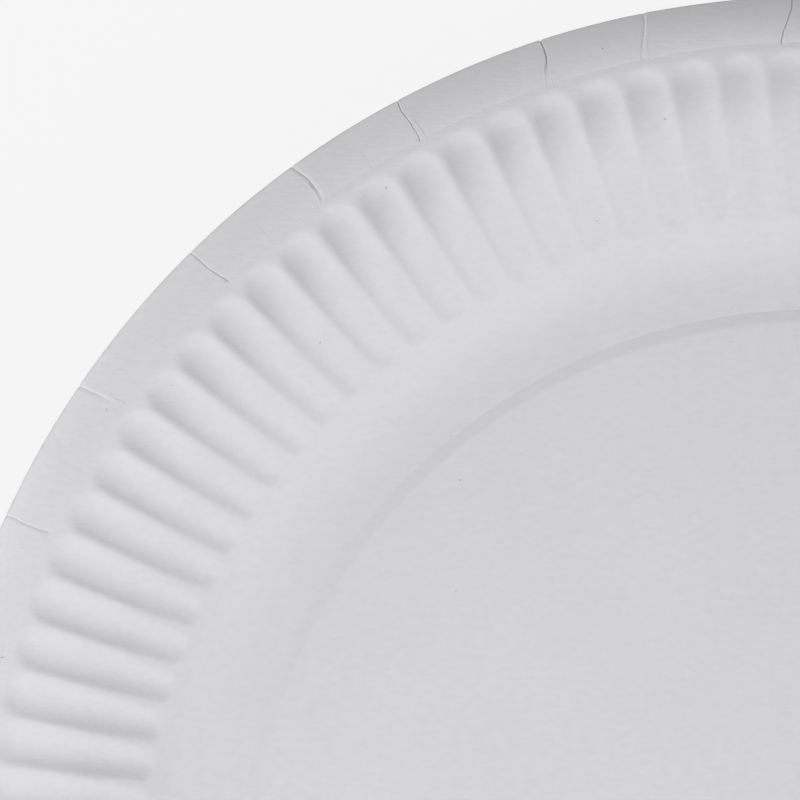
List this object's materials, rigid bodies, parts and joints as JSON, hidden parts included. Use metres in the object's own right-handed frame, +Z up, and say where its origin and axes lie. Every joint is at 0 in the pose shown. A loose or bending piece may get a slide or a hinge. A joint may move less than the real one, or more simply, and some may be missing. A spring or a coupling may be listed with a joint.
{
  "type": "paper plate",
  "caption": "Round pressed paper plate: a flat panel raised inside a narrow standing ring, a fluted curved wall, a shoulder and a pleated rim that curls down.",
  "frame": {"origin": "centre of the flat ring that the plate stands on, at its underside", "axes": "+Z up, square to the panel, out of the eating side; the plate is round about Z"},
  "size_m": [0.23, 0.23, 0.0164],
  "materials": {
    "board": "matte"
  },
  "bodies": {
    "root": {"plate": "board"}
  },
  "joints": []
}
